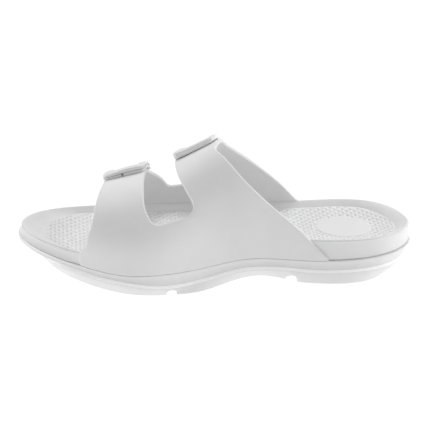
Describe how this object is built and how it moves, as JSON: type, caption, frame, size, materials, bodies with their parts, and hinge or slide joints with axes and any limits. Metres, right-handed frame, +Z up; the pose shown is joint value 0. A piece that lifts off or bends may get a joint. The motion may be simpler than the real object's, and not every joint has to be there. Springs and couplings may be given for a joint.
{
  "type": "two-strap slide sandal",
  "caption": "Moulded foam slide sandal for the right foot, with two buckled straps, a dished footbed and a rocker sole.",
  "frame": {"origin": "on the floor, on the outsole's flat spot under the middle of the heel seat", "axes": "+X from heel to toe, +Z up, +Y toward the inner side of the right foot"},
  "size_m": [0.2699, 0.1071, 0.0932],
  "materials": {
    "sole_foam": "matt white moulded foam",
    "upper_foam": "matt white moulded foam, smooth",
    "insole_foam": "matt white foam with a fine raised grid",
    "buckle_plastic": "satin white plastic"
  },
  "bodies": {
    "root": {"outsole": "sole_foam", "midsole": "sole_foam", "footbed": "sole_foam", "insole": "insole_foam", "upper": "upper_foam", "buckle_front": "buckle_plastic", "buckle_rear": "buckle_plastic", "pin_front": "buckle_plastic", "pin_rear": "buckle_plastic"}
  },
  "joints": []
}
